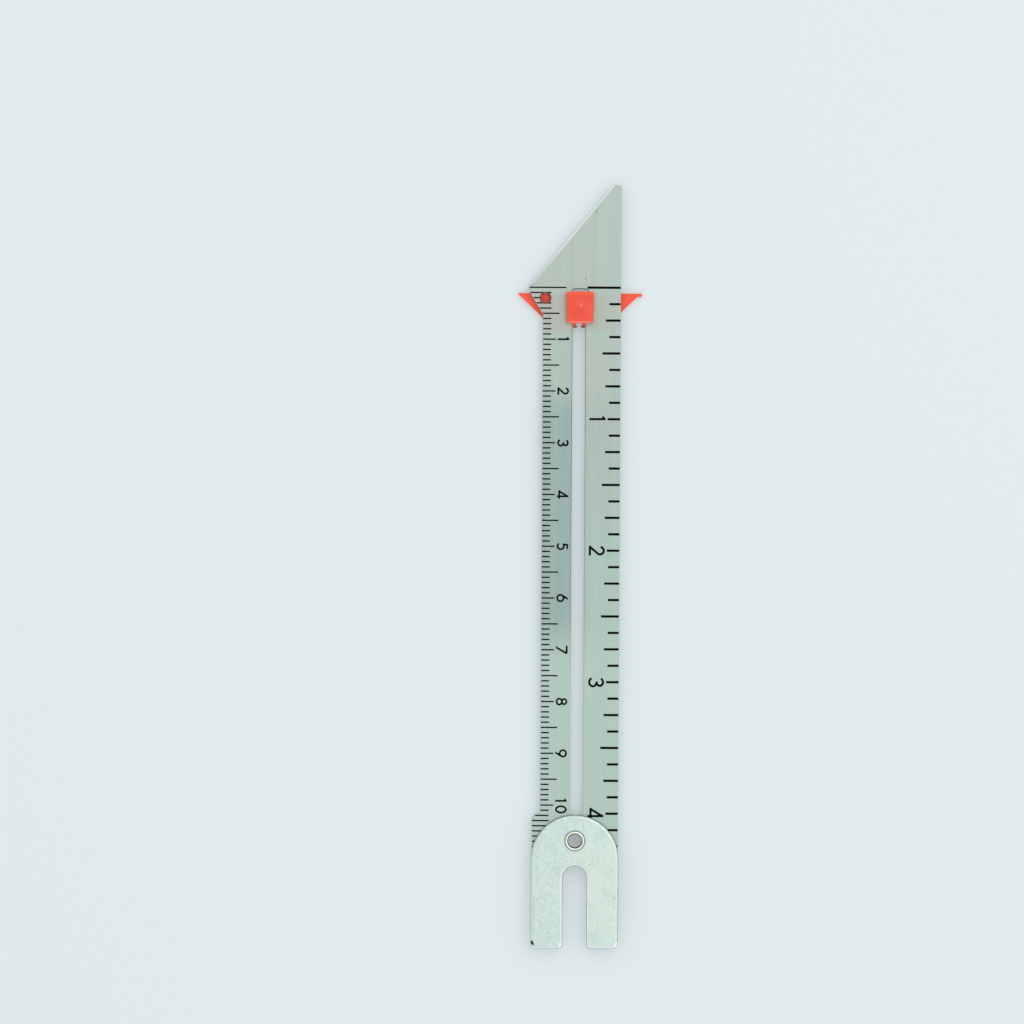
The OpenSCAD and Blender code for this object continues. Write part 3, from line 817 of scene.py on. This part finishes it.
def pointer_plastic():
    """Pointer: the slider's plastic, bright and glossy, a deeper orange along its reading edge, and with leg
    feet darkened as painted shade.
    """
    # The third colour is the painted sheen on the edges
    main, deep, lighter = shade(255, 87, 62), shade(248, 77, 52), shade(255, 128, 100)
    finish, plastic = moulded_plastic("moulded_pointer", main, deep, lighter)
    along = finish.axis("Y")
    # A deeper orange along the reading edge
    reading_edge = along.ramp(pointer_high.y - 0.5 * mm, pointer_high.y - 0.25 * mm)
    # Painted shade: the feet of the spring legs darkened
    feet = 1 - along.ramp(leg_low_y + 0.3 * mm, leg_low_y + 0.5 * mm)
    recoloured = finish.mix(0.55 * reading_edge, plastic, shade(255, 78, 34))
    finish.give("Base Color", finish.mix(0.85 * feet, recoloured, shade(138, 50, 46)))
    return finish.material


def button_plastic():
    """Button: the slider's plastic, paler at its gate, with painted sheen in orange bands at its top and,
    fainter, its foot, and a painted highlight along its lower edge.
    """
    # The third colour is the painted sheen on the edges
    main, deep, lighter = shade(243, 82, 56), shade(236, 72, 47), shade(252, 128, 96)
    finish, plastic = moulded_plastic("moulded_button", main, deep, lighter)
    along = finish.axis("Y")
    middle = (button_low + button_high) / 2
    gate = finish.spot((middle.x + gate_at[0], middle.y + gate_at[1]), gate_r, 0.3)
    # Painted sheen: orange bands along the top and, fainter, the foot
    upper_band = along.ramp(button_high.y - 0.75 * mm, button_high.y - 0.4 * mm)
    lower_band = 1 - along.ramp(button_low.y + 0.5 * mm, button_low.y + 1.2 * mm)
    # Painted highlight: a pale line along the lower edge
    lip_highlight = 1 - along.ramp(button_low.y + 0.2 * mm, button_low.y + 0.42 * mm)
    sheen_banded = finish.mix(0.5 * upper_band + 0.4 * lower_band, plastic, shade(255, 90, 44))
    highlit_lip = finish.mix(0.6 * lip_highlight, sheen_banded, shade(246, 158, 142))
    finish.give("Base Color", finish.mix(0.28 * gate, highlit_lip, shade(255, 165, 155)))
    return finish.material


def printing_ink():
    """Scales: matt black ink that thins in places and has pinholes."""
    finish = Finish("printing_ink", {"Metallic": 0.0, "IOR": 1.1})
    thin = finish.noise(1400, detail=4, rough=0.6)
    pinholes = finish.noise(5200, detail=2).ramp(0.72, 0.8)
    lighter = finish.mix(thin.ramp(0.4, 0.85), shade(5, 6, 7), shade(24, 27, 28))
    finish.give("Base Color", finish.mix(0.35 * pinholes, lighter, shade(120, 134, 128)))
    finish.give("Roughness", 0.55 + 0.2 * thin)
    finish.relief(thin, 0.003 * mm)
    return finish.material


def paper_floor():
    """Pale paper under the gauge, with a faint tooth.

    A third of its tone shows to the camera and in gloss as a glow of its own, so shadows on it stay light.
    """
    finish = Finish("paper_floor", {"Metallic": 0.0, "Roughness": 0.85, "Emission Strength": 0.35})
    tooth = finish.noise(1800, detail=3)
    kinds = ("Camera", "Glossy", "Transmission")
    seen = sum(finish.node("ShaderNodeLightPath", output=f"Is {kind} Ray") for kind in kinds)
    finish.give("Base Color", finish.mix(tooth, shade(184, 193, 195), shade(187, 195, 198)))
    finish.give("Emission Color", finish.mix(seen, shade(0, 0, 0), shade(226, 236, 239)))
    return finish.material


def dress(piece, material):
    """The piece wears one material all over."""
    piece.data.materials.clear()
    piece.data.materials.append(material)


# Floor's half width, the camera's place and turn, and the place that the lamps point at
floor_reach = 1.6
camera_at = (-12.48 * mm, 63.42 * mm, 1374.6 * mm)
camera_turn = 0.0057
lamps_aim = (0, 60 * mm, 0)

# Share of the way from the horizon up to the zenith, and the studio's brightness there
WALL_TONES = [(0.0, 0.38), (0.35, 0.66), (0.62, 1.08), (1.0, 0.86)]


def lay_floor():
    """Large flat floor at the gauge's lowest point."""
    mesh = bpy.data.meshes.new("floor")
    corners = [(-1, -1), (1, -1), (1, 1), (-1, 1)]
    points = [(x * floor_reach, y * floor_reach, pointer_low.z) for x, y in corners]
    mesh.from_pydata(points, [], [(0, 1, 2, 3)])
    floor = bpy.data.objects.new("floor", mesh)
    bpy.context.scene.collection.objects.link(floor)
    dress(floor, paper_floor())


def light_world():
    """Soft studio round the gauge: dim low walls, a brighter band above them and an even ceiling."""
    world = bpy.data.worlds.new("studio")
    world.use_nodes = True
    tree = world.node_tree
    place = tree.nodes.new("ShaderNodeTexCoord")
    height = tree.nodes.new("ShaderNodeSeparateXYZ")
    ramp = tree.nodes.new("ShaderNodeValToRGB")
    tree.links.new(place.outputs["Generated"], height.inputs["Vector"])
    tree.links.new(height.outputs["Z"], ramp.inputs[0])
    tree.links.new(ramp.outputs["Color"], tree.nodes["Background"].inputs["Color"])
    walls = ramp.color_ramp
    while len(walls.elements) < len(WALL_TONES):
        walls.elements.new(1.0)
    for element, (at, tone) in zip(walls.elements, WALL_TONES):
        element.position = at
        element.color = (tone, tone, tone, 1)
    bpy.context.scene.world = world


def add_lamp(name, at, size, watts):
    """Square soft lamp that points at the middle of the blade."""
    lamp = bpy.data.lights.new(name, "AREA")
    lamp.size = size
    lamp.energy = watts
    stand = bpy.data.objects.new(name, lamp)
    stand.location = at
    stand.rotation_euler = (Vector(lamps_aim) - Vector(at)).to_track_quat("-Z", "Y").to_euler()
    bpy.context.scene.collection.objects.link(stand)


def add_camera():
    """Camera straight above, turned so that the gauge leans a third of a degree to the right."""
    data = bpy.data.cameras.new("camera")
    data.lens = 250
    data.sensor_width = 36
    camera = bpy.data.objects.new("camera", data)
    camera.location = camera_at
    camera.rotation_euler = (0, 0, camera_turn)
    bpy.context.scene.collection.objects.link(camera)
    bpy.context.scene.camera = camera


add_camera()
lay_floor()
light_world()
add_lamp("key", (170 * mm, 210 * mm, 480 * mm), 300 * mm, 0.27)
add_lamp("side", (230 * mm, -130 * mm, 430 * mm), 280 * mm, 0.05)
bpy.context.scene.view_settings.view_transform = "Standard"

dress(make_blade(), satin_sheet())
dress(make_fork(), bright_sheet())
dress(make_rivet(), plated_rivet())
dress(make_pointer(), pointer_plastic())
dress(make_button(), button_plastic())
ink = printing_ink()
for name in ("metric_ticks", "metric_numerals", "inch_ticks", "inch_numerals"):
    dress(frame["nodes"][name], ink)
